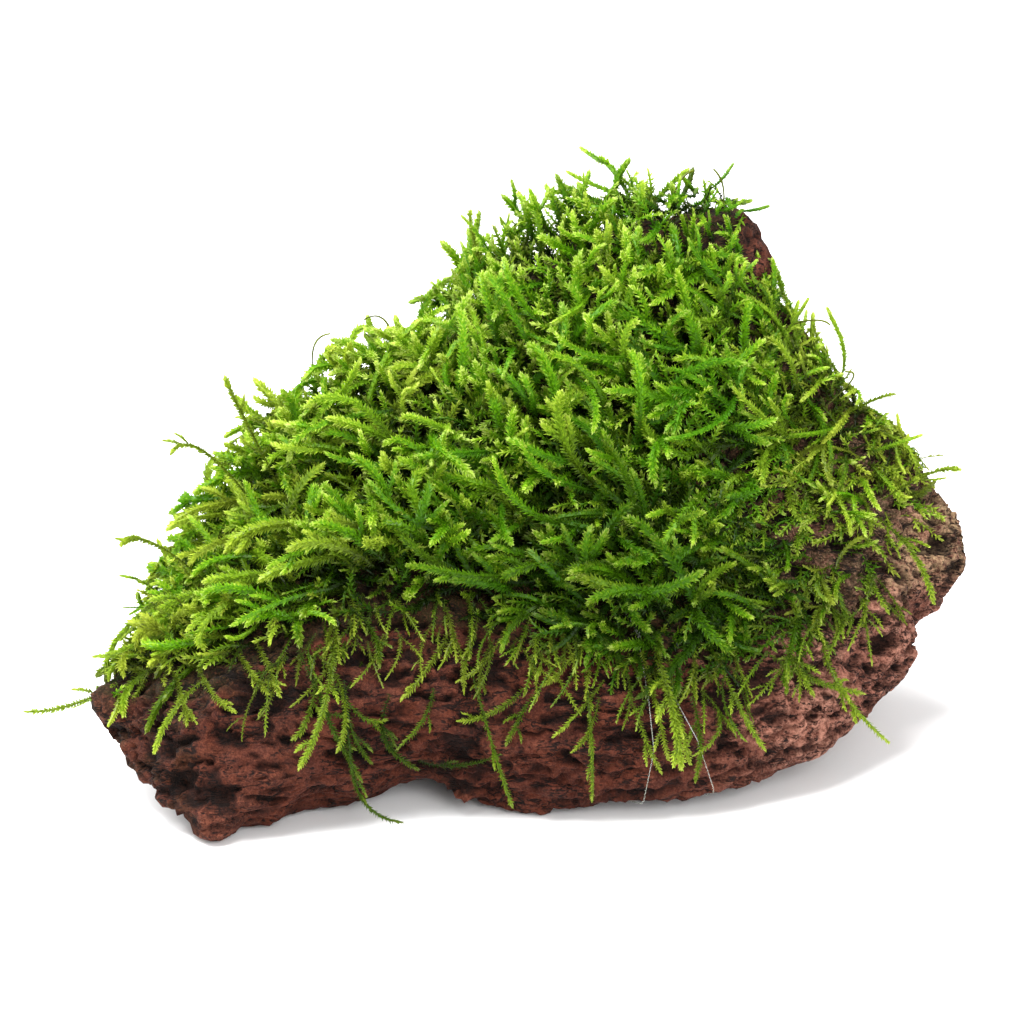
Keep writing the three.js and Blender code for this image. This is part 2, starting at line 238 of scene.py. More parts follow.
rock_solid = solid_surface("lava_rock", smoothing=2)
carpet_solid = solid_surface("moss_carpet")
rock_radii = outer_radius(rock_solid, rock_directions)
carpet_radii = outer_radius(carpet_solid, rock_directions)
moss_depth = np.where(carpet_radii > 0, carpet_radii - rock_radii, 0)

rock_points = ROCK_CORE + rock_directions * rock_radii[:, None]
rock = add_mesh("lava_rock_surface", rock_points, rock_faces)
rock_normals = point_normals(rock)

rock_rng = np.random.default_rng(41)
rise = np.zeros(len(rock_points))
for place, radius, depth in CHIPS:
    rise -= depth * smooth(np.linalg.norm(rock_points - place, axis=1), radius, 0.2 * radius)
rugged = 1 + zone(rock_points, ROUGH_FOOT)  # the left foot is twice as rough as the rest
for size, height in LUMPS:
    rise += height * noise_at(rock_points, size, 2) * (rugged if size < 3 else 1)
creases = smooth(np.abs(noise_at(rock_points, CREASE_SIZE, 3, 5.5)), 0.16, 0.0)
rise -= CREASE_DEPTH * creases * patches(11, 1, 2.2, -0.3, 0.3)

facing_front = smooth(-rock_normals[:, 1], 0.2, 0.6)
layer_height = rock_points[:, 2] - LAYERS_RISE * np.maximum(rock_points[:, 0] - LAYERS_RISE_FROM, 0)
layer_height += 2.4 * noise_at(rock_points, 14) + 1.1 * noise_at(rock_points, 4.5, 2)
layer_phase = np.abs(2 * np.mod(layer_height / LAYER_THICKNESS, 1) - 1)
broken = smooth(noise_at(rock_points * (0.6, 1, 1.6), 4.5, 2, 3.1), -0.05, 0.3)
rise += LAYER_BULGE * facing_front * (np.sqrt(1 - 0.98 * layer_phase ** 2) - 0.6)
hollow = SLIT_DEPTH * facing_front * broken * smooth(layer_phase, 0.72, 0.98)
along_layers = 1 - facing_front[:, None] * (0.5, 0.0, -0.35)
for size, depth, rarity in CAVITIES:
    cavity = smooth(noise_at(rock_points * along_layers, size, 3, size), rarity, rarity + 0.22)
    hollow = np.maximum(hollow, depth * cavity)

level = unit(np.cross(rock_normals, UP) + 1e-6)
bare = np.flatnonzero(moss_depth < 0.5)
left_foot = bare[rock_points[bare, 0] < -38]
near_points = finder(rock_points)
low, high = ROUND_PITS["widths"]
for index in rock_rng.choice(np.concatenate((bare, left_foot)), ROUND_PITS["count"]):
    width = low * (high / low) ** (rock_rng.random() ** 1.6)
    axis = unit(level[index] + 0.25 * rock_rng.normal(size=3))
    carve(rock_points, near_points, hollow, rock_points[index],
          width, width * ROUND_PITS["depth"], rock_rng.uniform(*ROUND_PITS["stretch"]), axis)
for place, width, depth, stretch in GREAT_HOLLOWS:
    _, index, _ = near_points.find(Vector(place))
    carve(rock_points, near_points, hollow, rock_points[index], width, depth, stretch, level[index])

rock_points = rock_points + rock_normals * (rise - hollow)[:, None]
rock_points[:, 2] = np.maximum(rock_points[:, 2], 0)
rock.data.vertices.foreach_set("co", ((rock_points + DRAWING_ZERO) * MM).ravel())
rock.data.polygons.foreach_set("use_smooth", [True] * len(rock_faces))
rock.data.update()

# The moss leaves the crest's right corner bare. Elsewhere the rock is stained: green by the moss's
# edge, sooty, or weathered to tan. Under the moss and near it, shade is painted in dark green and brown.
moss_depth *= 1 - zone(rock_points, BARE_CORNER)
from_moss = np.array([carpet_solid.find_nearest(Vector(p))[3] for p in rock_points])
algae_and_shade = 0.8 * np.exp(-from_moss / 3.0) * patches(4, 3, 7.7, -0.2, 0.3)
algae_and_shade *= 1 - 0.8 * zone(rock_points, PALE_CORNER)
# Painted shade: under the carpet the rock is painted near-black green.
algae_and_shade = np.maximum(algae_and_shade, smooth(moss_depth, 0.1, 1.4))
algae_and_shade = np.maximum(algae_and_shade, 0.55 * patches(3.5, 3, 2.9, 0.0, 0.3) * zone(rock_points, MOSSY_FOOT))
soot_and_shadow = patches(7, 4, 1.3, 0.0, 0.4)
# Painted shadow: near the moss the rock is painted darker, where its overhanging edge shades it.
soot_and_shadow *= np.clip(0.3 + 0.7 * zone(rock_points, LEFT_HALF) + 0.9 * np.exp(-from_moss / 5), 0, 1)
soot_and_shadow = np.maximum(soot_and_shadow, 0.85 * zone(rock_points, LEFT_TIP))
soot_and_shadow = np.maximum(soot_and_shadow, 0.7 * patches(4, 3, 6.1, -0.25, 0.25) * zone(rock_points, CREST))
tan = patches(6, 3, 4.4, -0.6, 0.0) * zone(rock_points, RIGHT_END)
pink = zone(rock_points, PINK_SIDE)
# Painted highlight: the high parts of the relief are painted paler, and the carved hollow places less so. The
# pink side is paler in its own colour.
pale = smooth(rise - 0.8 * hollow + 0.5 * pink, -0.1, 1.1)
add_values(rock, "stains_and_shade", np.column_stack((algae_and_shade, soot_and_shadow, tan)))
add_values(rock, "relief", np.column_stack((smooth(hollow, 0.25, 1.0), pale, pink)))


def add_node(tree, kind, inputs=None, **settings):
    """A shader node. Each input is a value, or another node's socket that it is linked to."""
    made = tree.nodes.new(kind)
    for name, value in settings.items():
        setattr(made, name, value)
    for key, value in (inputs or {}).items():
        if isinstance(value, bpy.types.NodeSocket):
            tree.links.new(value, made.inputs[key])
        else:
            made.inputs[key].default_value = value
    return made


def blend(tree, amount, a, b):
    """A colour between a and b."""
    return add_node(tree, "ShaderNodeMix", {0: amount, 6: a, 7: b}, data_type="RGBA").outputs[2]


def math_node(tree, operation, a, b=0.0, clamp=False):
    made = add_node(tree, "ShaderNodeMath", {0: a, 1: b}, operation=operation, use_clamp=clamp)
    return made.outputs[0]


def times(tree, a, b):
    return math_node(tree, "MULTIPLY", a, b, clamp=True)


def remap(tree, value, start, end, low=0.0, high=1.0):
    made = add_node(tree, "ShaderNodeMapRange",
                    {"Value": value, "From Min": start, "From Max": end, "To Min": low, "To Max": high})
    return made.outputs[0]


def channels(tree, layer):
    """The red, green and blue values of a mesh's colour layer."""
    read = add_node(tree, "ShaderNodeAttribute", attribute_name=layer)
    return add_node(tree, "ShaderNodeSeparateColor", {0: read.outputs["Color"]}).outputs


def unevenness_group():
    """The unevenness that stone, moss and thread all have: noise with features of Size metres,
    drawn out Stretch times along the rock's length."""
    group = bpy.data.node_groups.new("unevenness", "ShaderNodeTree")
    for name, usual in (("Size", MM), ("Stretch", 1.0), ("Detail", 3.0), ("Roughness", 0.5)):
        socket = group.interface.new_socket(name, in_out="INPUT", socket_type="NodeSocketFloat")
        socket.default_value = usual
    group.interface.new_socket("Value", in_out="OUTPUT", socket_type="NodeSocketFloat")
    given = add_node(group, "NodeGroupInput").outputs
    along = math_node(group, "DIVIDE", 1.0, given["Stretch"])
    scale = add_node(group, "ShaderNodeCombineXYZ", {"X": along, "Y": 1.0, "Z": 1.0}).outputs[0]
    place = add_node(group, "ShaderNodeTexCoord").outputs["Object"]
    place = add_node(group, "ShaderNodeMapping", {"Vector": place, "Scale": scale}).outputs[0]
    settings = {"Vector": place, "Scale": math_node(group, "DIVIDE", 1.0, given["Size"])}
    settings |= {name: given[name] for name in ("Detail", "Roughness")}
    value = add_node(group, "ShaderNodeTexNoise", settings).outputs[0]
    add_node(group, "NodeGroupOutput", {"Value": value})
    return group


unevenness = unevenness_group()


def uneven(tree, size, detail=3.0, roughness=0.5, stretch=1.0):
    """A value that wanders about a half, with features of about the given size in millimetres."""
    settings = {"Size": size * MM, "Stretch": stretch, "Detail": detail, "Roughness": roughness}
    return add_node(tree, "ShaderNodeGroup", settings, node_tree=unevenness).outputs[0]


def new_material(name):
    """A material with its node tree and its Principled node."""
    material = bpy.data.materials.new(name)
    material.use_nodes = True
    return material, material.node_tree, material.node_tree.nodes["Principled BSDF"]


def pit_mask(tree, size, rarity):
    """Crisp uneven pits, about half as wide as the given size in millimetres, in patches. The lava
    paints them black as their shade.
    """
    place = add_node(tree, "ShaderNodeTexCoord").outputs["Object"]
    place = add_node(tree, "ShaderNodeMapping", {"Vector": place, "Scale": (0.6, 1, 1)}).outputs[0]
    settings = {"Vector": place, "Scale": 1 / (0.6 * size * MM), "Detail": 2}
    wander = add_node(tree, "ShaderNodeTexNoise", settings).outputs["Color"]
    settings = {0: wander, "Scale": 0.9 * size * MM}
    shift = add_node(tree, "ShaderNodeVectorMath", settings, operation="SCALE")
    moved = add_node(tree, "ShaderNodeVectorMath", {0: place, 1: shift.outputs[0]}, operation="ADD")
    cells = add_node(tree, "ShaderNodeTexVoronoi", {"Vector": moved.outputs[0], "Scale": 1 / (size * MM)})
    chance = add_node(tree, "ShaderNodeSeparateColor", {0: cells.outputs["Color"]}).outputs[0]
    width = math_node(tree, "MULTIPLY", chance, rarity)
    pit = remap(tree, math_node(tree, "ADD", cells.outputs["Distance"], width), 0.42, 0.32)
    return times(tree, pit, remap(tree, uneven(tree, 5 * size), 0.40, 0.55))


def crack_mask(tree, size, stretch):
    """Thin slits that run along the rock's layers and break off here and there. The lava paints
    them black as their shade.
    """
    wave = math_node(tree, "SUBTRACT", uneven(tree, size, 3, 0.6, stretch), 0.5)
    line = remap(tree, math_node(tree, "ABSOLUTE", wave), 0.030, 0.008)
    return times(tree, line, remap(tree, uneven(tree, 2 * size, stretch=1.5), 0.48, 0.56))


lava, tree, surface = new_material("red_lava")
algae_and_shade, soot_and_shadow, tan = channels(tree, "stains_and_shade")[:3]
hollow_shade, highlight_amount, pink = channels(tree, "relief")[:3]
mottle = remap(tree, uneven(tree, 4.5, 7, 0.68), 0.36, 0.58)
grain = uneven(tree, 0.9, 6, 0.75)
speckle = uneven(tree, 0.35, 3, 0.6)
pits = math_node(tree, "MAXIMUM", pit_mask(tree, 1.3, 0.5), pit_mask(tree, 0.6, 0.35))
cracks = math_node(tree, "MAXIMUM", crack_mask(tree, 2.4, 4.5), crack_mask(tree, 1.5, 4.0))
edges = blend(tree, pink, ROCK_WARM, ROCK_PALE)
colour = blend(tree, mottle, ROCK_DARK_RED, blend(tree, pink, ROCK_RED, ROCK_PINK))
for amount, coat in (
    # Painted highlight on the high parts of the relief.
    (times(tree, highlight_amount, remap(tree, grain, 0.42, 0.60)), edges),
    (times(tree, tan, remap(tree, grain, 0.35, 0.6)), WEATHERED_TAN),
    (times(tree, soot_and_shadow, remap(tree, grain, 0.6, 0.42)), SOOT_AND_SHADOW_BROWN),
    (times(tree, algae_and_shade, remap(tree, grain, 0.3, 0.6, 1.0, 0.8)), ALGAE_AND_SHADE_GREEN),
    (remap(tree, grain, 0.50, 0.40, 0.0, 0.7), ROCK_DARK_RED),
    (remap(tree, speckle, 0.50, 0.62, 0.0, 0.25), edges),
    (remap(tree, speckle, 0.46, 0.36, 0.0, 0.45), ROCK_DARK_RED),
    # Painted shade: the pits, the slits and the carved hollow places are painted near-black.
    (times(tree, pits, 0.85), HOLLOW_SHADE_BLACK),
    (times(tree, cracks, 0.9), HOLLOW_SHADE_BLACK),
    (times(tree, hollow_shade, remap(tree, grain, 0.3, 0.7, 1.0, 0.7)), HOLLOW_SHADE_BLACK),
):
    colour = blend(tree, amount, colour, coat)
tree.links.new(colour, surface.inputs["Base Color"])
surface.inputs["Roughness"].default_value = 0.75
surface.inputs["Specular IOR Level"].default_value = 0.12
height = math_node(tree, "ADD", grain, times(tree, speckle, 0.25))
height = math_node(tree, "SUBTRACT", height, times(tree, pits, 0.30))
height = math_node(tree, "SUBTRACT", height, times(tree, cracks, 0.45))
fine = add_node(tree, "ShaderNodeBump", {"Height": height, "Distance": 1.0 * MM, "Strength": 1.0})
tree.links.new(fine.outputs[0], surface.inputs["Normal"])


def finish(piece, material, slot, *nodes):
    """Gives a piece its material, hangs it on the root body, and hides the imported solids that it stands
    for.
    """
    piece.data.materials.append(material)
    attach(piece, "root")
    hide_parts(*nodes)


finish(rock, lava, "lava", "lava_rock")

# Moss carpet
# Java moss that has grown together over the rock's upper slopes. Each shoot is a thin stem with
# overlapping pointed leaves, which crowd together at its tip, and its foot clings to the rock.

LEAF_LENGTH = 0.95
LEAF_WIDTH = 0.40  # as a share of its length
WIDEST_AT = 0.30  # as a share of its length from its foot
LEAF_ROWS = (4, 176, 50, 130, 355, 185, 90, 305)  # degrees round the stem from its flat side
LEAF_SPREAD = 60  # degrees between leaf and stem
ROUNDNESS = 0.6  # how far a leaf is lit as part of its round shoot, and not as a flat blade
CROWDED_END = 0.9  # mm from its tip, over which a shoot's leaves crowd together
YOUNG_END = 2.0  # mm from its tip, over which they are pale
SIDE_SHOOT_SIZE = 0.88
BODY_CORNERS = 4
STEPS = 7  # straight lengths in a shoot's stem
BRANCH_STEPS = 3
# The two triangles of a four-sided face in its own cell of the map that colours are kept in.
UNIT_SQUARE = np.array((((0.1, 0.1), (0.9, 0.1), (0.9, 0.9)), ((0.1, 0.1), (0.9, 0.9), (0.1, 0.9))))

# Which way the shoots lean in each part of the carpet.
LEAN_MIDDLE = (-0.55, -0.15, 0.75)
LEAN_LEFT = (-1.2, -0.35, 0.05)
LEAN_CROWN = (-0.2, -0.1, 1.3)
LEAN_RIGHT = (0.9, -0.35, -0.5)
LEAN_BACK = (0.0, 1.2, -0.1)
LEAN_RIM = (-0.1, -0.3, -1.1)
SCATTER = 0.75

# How high above the floor the front's lowest shoots are rooted, at each x.
ROOTS_FROM = ((-70, 11), (-60, 14.5), (-47, 19.5), (-36, 24), (-24, 29), (-11, 30), (3, 27), (17, 22),
              (31, 21), (44, 26), (56, 32), (70, 42))

# How much further the shoots stand out from the carpet's solid in some places, or how much less:
# millimetres, then the steps that bound the place. It is highest in the crown's middle.
STANDING_OUT = (
    (2.2, ("x", -46, -38), ("x", -10, -18), ("y", 28, 38)),
    (2.0, ("x", -34, -42), ("z", 34, 38)),
    (1.8, ("x", 2, 12), ("x", 27, 17), ("z", 62, 72)),
    (-4.4, ("x", 12, 28), ("z", 55, 70)),
    (-4.0, ("x", 10, 0), ("z", 60, 70)),
    (-2.2, ("x", -42, -50), ("z", 37, 31), ("z", 19, 24)),
    (-1.5, ("x", -44, -54)),
    (-1.8, ("x", 30, 42)),
)
# Where the moss is a cooler green, or more olive where the value is below zero.
COOLER = (
    (0.15, ("x", -20, 0), ("x", 45, 30)),
    (-0.4, ("x", 30, 50)),
    (-0.2, ("x", 0, -50)),
    (-0.2, ("x", -25, -42), ("z", 32, 20)),
)
THIN_RIGHT = (("x", 34, 48), ("z", 64, 50))
FULL_UPPER_LEFT = (("x", 2, -6), ("z", 36, 44))
LOW_FRONT = (("x", -30, -10), ("z", 42, 32), ("y", 30, 20))
PAINTED_LIGHT_TOP = (("z", 40, 50), ("x", 30, 16))
PAINTED_LIGHT_LEFT = (("x", 4, -10),)
PALER_RIGHT = (("x", 32, 46),)

# Greens from the oldest leaves to the newest, then the colours that they are blended with.
MOSS_GREENS = (
    (0.0, (0.040, 0.052, 0.004, 1)),
    (0.3, (0.050, 0.140, 0.002, 1)),
    (0.6, (0.115, 0.300, 0.004, 1)),
    (0.8, (0.285, 0.460, 0.018, 1)),
    (1.0, (0.58, 0.72, 0.15, 1)),
)
COOL_GREEN = (0.034, 0.160, 0.004, 1)
OLD_OLIVE = (0.060, 0.078, 0.002, 1)
YOUNG_OLIVE = (0.50, 0.58, 0.055, 1)
DEEP_SHADE = (0.0015, 0.005, 0.0005, 1)

moss_rng = np.random.default_rng(7)


def lean_of(points, depth):
    """The way that shoots lean where they are rooted, with their own scatter."""
    x, y, z = points.T
    pulls = (
        (smooth(x, -8, -45), LEAN_LEFT),
        (smooth(z, 46, 66), LEAN_CROWN),
        (smooth(x, 34, 54), LEAN_RIGHT),
        (smooth(y, 50, 60), LEAN_BACK),
        (smooth(depth, 6, 2) * smooth(y, 40, 25) * (1 - 0.8 * smooth(x, -15, -35)), LEAN_RIM),
    )
    total = np.tile(LEAN_MIDDLE, (len(points), 1))
    for weight, pull in pulls:
        total += weight[:, None] * np.array(pull)
    return unit(total) + SCATTER * moss_rng.normal(size=points.shape)


def grow(roots, normals, leans, lengths, heights, bows, swerves, hooks):
    """The stems' middle lines, and each one's upper side. A shoot tilts to rise by its height, and
    bows, swerves sideways and hooks over at its tip by its own angles."""
    ahead = unit(leans - dots(leans, normals) * normals)
    sideways = np.cross(normals, ahead)
    tilt = np.arccos(np.clip(heights / lengths, 0.05, 0.98))
    line = [roots]
    for step in range(STEPS):
        share = (step + 0.5) / STEPS - 0.5
        angle = (tilt + 2 * bows * share + hooks * (share + 0.5) ** 4)[:, None]
        turn = (2 * swerves * share)[:, None]
        level = np.cos(turn) * ahead + np.sin(turn) * sideways
        heading = np.cos(angle) * normals + np.sin(angle) * level
        line.append(line[-1] + heading * (lengths / STEPS)[:, None])
    return np.stack(line, axis=1), unit(normals - 0.6 * ahead)


def within_carpet(lines, allowance):
    """Shortens the shoots whose tips would stand out further from the carpet than is allowed."""
    offset = lines[:, -1] - ROCK_CORE
    radius = np.linalg.norm(offset, axis=1)
    direction = offset / radius[:, None]
    edge = np.maximum(outer_radius(carpet_solid, direction), outer_radius(rock_solid, direction))
    excess = np.maximum(radius - edge - allowance, 0)
    reach = np.linalg.norm(lines[:, -1] - lines[:, 0], axis=1)
    kept = np.clip(1 - 1.1 * excess / reach, 0.3, 1)
    return lines[:, :1] + (lines - lines[:, :1]) * kept[:, None, None], kept


def clear_of_rock(lines, gap):
    """Lifts the stems' points out of the rock, and gives each point's height over the rock too."""
    places = lines[:, 1:].reshape(-1, 3)
    offset = places - ROCK_CORE
    radii = np.linalg.norm(offset, axis=1)
    surface = outer_radius(rock_solid, offset / radii[:, None])
    lifted = np.maximum(radii, surface + gap)
    places = ROCK_CORE + offset * (lifted / radii)[:, None]
    lines = np.concatenate((lines[:, :1], places.reshape(lines[:, 1:].shape)), axis=1)
    height = np.zeros(lines.shape[:2])
    height[:, 1:] = (lifted - surface).reshape(len(lines), -1)
    return lines, height


def sides_of(lines, upper):
    """At each point of each line: its heading, its side and its upper side, rolled at random."""
    heading = unit(np.gradient(lines, axis=1))
    upper = unit(upper[:, None] - dots(upper[:, None], heading) * heading + 1e-6)
    side = np.cross(heading, upper)
    roll = moss_rng.normal(0, 0.5, len(lines))[:, None, None]
    return heading, np.cos(roll) * side + np.sin(roll) * upper, np.cos(roll) * upper - np.sin(roll) * side


def at_share(values, who, share):
    """The value at a share of the way along each named shoot's row of values."""
    place = share * (values.shape[1] - 1)
    before = np.minimum(place.astype(int), values.shape[1] - 2)
    part = (place - before)[:, None]
    return values[who, before] * (1 - part) + values[who, before + 1] * part


def leaves(lines, sides, tones, lengths, gap, size):
    """Pointed leaves that overlap round each stem and crowd into its blunt tip."""
    counts = np.maximum((lengths / gap).astype(int), 6)
    who = np.repeat(np.arange(len(lines)), counts)
    order = np.arange(len(who)) - np.repeat(np.cumsum(counts) - counts, counts)
    share = (order + 0.5) / counts[who]
    total = len(who)
    from_tip = (1 - share) * lengths[who]
    crowd = np.exp(-(from_tip / CROWDED_END) ** 2)
    old = smooth(share, 0.5, 0.0)

    row = np.array(LEAF_ROWS)[order % len(LEAF_ROWS)]
    around = np.radians(row + moss_rng.normal(0, 12, total)) + crowd * moss_rng.normal(0, 0.6, total)
    spread = np.radians(LEAF_SPREAD + 16 * old + moss_rng.normal(0, 8, total)) * (1 - 0.65 * crowd)
    foot = at_share(lines, who, share)
    heading, side, upper = (unit(at_share(way, who, share)) for way in sides)
    out = np.cos(around)[:, None] * side + np.sin(around)[:, None] * upper
    ahead = np.cos(spread)[:, None] * heading + np.sin(spread)[:, None] * out
    flat = np.sin(spread)[:, None] * heading - np.cos(spread)[:, None] * out
    twist = (0.35 + 1.0 * np.abs(np.sin(around)) + moss_rng.normal(0, 0.2, total))[:, None]
    across = np.cos(twist) * flat + np.sin(twist) * np.cross(ahead, flat)
    face = np.cross(across, ahead)
    face *= np.sign(dots(face, upper + 0.7 * out))

    length = LEAF_LENGTH * size[who] * (1 - 0.34 * crowd) * (0.75 + 0.25 * smooth(share, 0, 0.3))
    length = (length * moss_rng.uniform(0.85, 1.12, total))[:, None]
    half = length * LEAF_WIDTH / 2 * (1 + 0.55 * crowd[:, None] - 0.35 * old[:, None])
    curl = moss_rng.normal(0.10, 0.06, total)[:, None] * length
    middle = foot + ahead * length * WIDEST_AT - 0.35 * half * face
    tip = foot + ahead * length + curl * heading
    points = np.stack((foot, middle + half * across, tip, middle - half * across), axis=1)
    roundness = (ROUNDNESS + 0.25 * crowd)[:, None]
    outward = roundness * unit(out + 0.4 * upper + crowd[:, None] * heading)
    tilted = np.stack((face, face + 0.5 * across, face, face - 0.5 * across), axis=1)
    normals = unit(outward[:, None] + (1 - roundness)[:, None] * unit(tilted))
    corner = 4 * np.arange(total)[:, None, None]
    faces = corner + np.array(((0, 1, 2), (0, 2, 3)))
    diamond = np.array(((0.5, 0.05), (0.92, 0.45), (0.5, 0.95), (0.08, 0.45)))
    leaf_tones = np.repeat(at_share(tones, who, share)[:, None], 4, axis=1)
    age = 0.28 + 0.28 * smooth(share, 0.1, 0.7) + 0.34 * np.exp(-from_tip / YOUNG_END)
    leaf_tones[..., 0] += age[:, None] + np.array((-0.14, 0.0, 0.14, 0.0))
    return (points.reshape(-1, 3), normals.reshape(-1, 3), faces.reshape(-1, 3), leaf_tones.reshape(-1, 3),
            diamond[faces - corner].reshape(-1, 3, 2), np.repeat(np.arange(total), 2))


def bodies(lines, sides, tones, lengths, radius):
    """The thickness that the crowded feet of the leaves give each shoot, up to its round pale tip."""
    heading, side, upper = (np.concatenate((way, way[:, -1:]), axis=1)[:, :, None] for way in sides)
    tones = np.concatenate((tones, tones[:, -1:]), axis=1)
    rings = tones.shape[1]
    beyond = lines[:, -1:] + 0.8 * radius[:, None, None] * sides[0][:, -1:]
    middle = np.concatenate((lines, beyond), axis=1)[:, :, None]
    share = np.append(np.linspace(0, 1, rings - 1), 1)
    swell = np.interp(share, (0, 0.3, 0.8, 1), (0.35, 0.85, 1.05, 0.9))
    swell[-1] = 0.45
    around = 2 * math.pi * np.arange(BODY_CORNERS)[:, None] / BODY_CORNERS
    out = np.cos(around) * side + np.sin(around) * upper
    points = middle + out * (radius[:, None] * swell)[:, :, None, None]
    rounding = np.where(np.arange(rings) == rings - 1, 1.2, 0.0)[:, None, None]
    normals = unit(out + rounding * heading)
    near = np.arange(len(lines) * rings * BODY_CORNERS).reshape(len(lines), rings, BODY_CORNERS)
    beside = np.roll(near, -1, axis=2)
    a, b, c, d = near[:, :-1], beside[:, :-1], beside[:, 1:], near[:, 1:]
    faces = np.stack((np.stack((a, b, c), -1), np.stack((a, c, d), -1)), axis=-2)
    from_tip = (1 - share) * lengths[:, None]
    tones = np.repeat(tones[:, :, None], BODY_CORNERS, axis=2)
    tones[..., 0] += (0.20 + 0.28 * smooth(share, 0.1, 0.7) + 0.30 * np.exp(-from_tip / 1.6))[:, :, None]
    return (points.reshape(-1, 3), normals.reshape(-1, 3), faces.reshape(-1, 3), tones.reshape(-1, 3),
            np.tile(UNIT_SQUARE, (a.size, 1, 1)), np.repeat(np.arange(a.size), 2))


def branches(lines, sides, lengths, each, reach):
    """Side shoots: which shoot each leaves, where, its middle line and its length."""
    counts = moss_rng.poisson(each, len(lines))
    who = np.repeat(np.arange(len(lines)), counts)
    share = moss_rng.uniform(0.2, 0.8, len(who))
    heading, side, upper = (unit(at_share(way, who, share)) for way in sides)
    flip = moss_rng.choice((-1.0, 1.0), len(who))[:, None]
    angle = np.radians(moss_rng.normal(46, 9, len(who)))[:, None]
    out = flip * side + 0.35 * moss_rng.normal(size=(len(who), 1)) * upper
    length = moss_rng.uniform(*reach, len(who)) * (1.15 - 0.5 * share)
    line = [at_share(lines, who, share)]
    for step in range(BRANCH_STEPS):
        bend = angle * (1 - 0.25 * step)
        way = unit(np.cos(bend) * heading + np.sin(bend) * out)
        line.append(line[-1] + way * length[:, None] / BRANCH_STEPS)
    return who, share, np.stack(line, axis=1), length


def moss_parts(lines, upper, tones, lengths, size, gap, each, body, reach=(3.0, 7.0)):
    """The bodies and leaves of a batch of shoots and of their side shoots."""
    sides = sides_of(lines, upper)
    who, share, side_lines, side_lengths = branches(lines, sides, lengths, each, reach)
    side_tones = np.repeat(at_share(tones, who, share)[:, None], BRANCH_STEPS + 1, axis=1)
    side_sides = sides_of(side_lines, at_share(sides[2], who, share))
    side_size = size[who] * SIDE_SHOOT_SIZE
    return [
        leaves(lines, sides, tones, lengths, gap, size),
        leaves(side_lines, side_sides, side_tones, side_lengths, gap, side_size),
        bodies(lines, sides, tones, lengths, body * size),
        bodies(side_lines, side_sides, side_tones, side_lengths, body * side_size),
    ]


def join_parts(name, parts):
    """One mesh of many small parts, each with its own cell in the map that colours are kept in."""
    numbered = []
    point_count = cell_count = 0
    for points, normals, faces, tones, corners, cells in parts:
        if len(points):
            numbered.append((points, normals, faces + point_count, tones, corners, cells + cell_count))
            point_count += len(points)
            cell_count += cells[-1] + 1
    points, normals, faces, tones, corners, cells = (np.concatenate(rows) for rows in zip(*numbered))
    grid = math.ceil(math.sqrt(cell_count))
    corner_places = corners + np.stack((cells % grid, cells // grid), -1)[:, None]
    piece = add_mesh(name, points, faces)
    add_values(piece, "tone", tones)
    shading = piece.data.attributes.new("custom_normal", "FLOAT_VECTOR", "POINT")
    shading.data.foreach_set("vector", normals.ravel())
    piece.data.uv_layers.new(name="OFBake").data.foreach_set("uv", (corner_places / grid).ravel())
    return piece


moss, tree, surface = new_material("java_moss")
age, tint, shade = channels(tree, "tone")[:3]
scales = remap(tree, uneven(tree, 0.4, 2), 0.35, 0.65, -0.14, 0.14)
age = math_node(tree, "ADD", age, scales)
ramp = add_node(tree, "ShaderNodeValToRGB", {0: age})
stops = ramp.color_ramp.elements
(stops[0].position, stops[0].color), (stops[1].position, stops[1].color) = MOSS_GREENS[0], MOSS_GREENS[-1]
for position, green in MOSS_GREENS[1:-1]:
    stops.new(position).color = green
colour = blend(tree, remap(tree, tint, 0.5, 1.0, 0.0, 0.5), ramp.outputs[0], COOL_GREEN)
olive = blend(tree, remap(tree, age, 0.1, 1.0), OLD_OLIVE, YOUNG_OLIVE)
colour = blend(tree, remap(tree, tint, 0.5, -0.3, 0.0, 0.9), colour, olive)
colour = blend(tree, remap(tree, shade, 0.0, 1.0, 1.0, 0.0), colour, DEEP_SHADE)
tree.links.new(colour, surface.inputs["Base Color"])
surface.inputs["Roughness"].default_value = 0.4
surface.inputs["Specular IOR Level"].default_value = 0.13
glow = add_node(tree, "ShaderNodeBsdfTranslucent", {"Color": colour})
through = add_node(tree, "ShaderNodeMixShader", {0: 0.33, 1: surface.outputs[0], 2: glow.outputs[0]})
tree.links.new(through.outputs[0], tree.nodes["Material Output"].inputs["Surface"])


def rooted_at(gap, least_depth):
    """Places on the mossy rock, one for each small block of space that it passes through. They
    are fewer over the right end, and the crest's right corner is bare."""
    mossy = moss_rng.permutation(np.flatnonzero(moss_depth > least_depth))
    _, first = np.unique(np.floor(rock_points[mossy] / gap), axis=0, return_index=True)
    chosen = mossy[np.sort(first)]
    x, y, z = rock_points[chosen].T
    rim_height = np.interp(x, *np.transpose(ROOTS_FROM))
    density = 1 - 0.6 * zone(rock_points[chosen], THIN_RIGHT)
    density *= smooth(z, rim_height - 1, rim_height + 1) + smooth(y, 30, 45)
    return chosen[moss_rng.random(len(chosen)) < density]


def toned(lines, tint, shade):
    """The tint and shade at each point of each stem. Leaves and bodies add their age."""
    tones = np.zeros(lines.shape)
    tones[..., 1] = tint[:, None]
    tones[..., 2] = shade
    return tones


def by_zone(points, changes):
    """At each point, the changes of all the places that it lies in."""
    return sum(change * zone(points, steps) for change, *steps in changes)


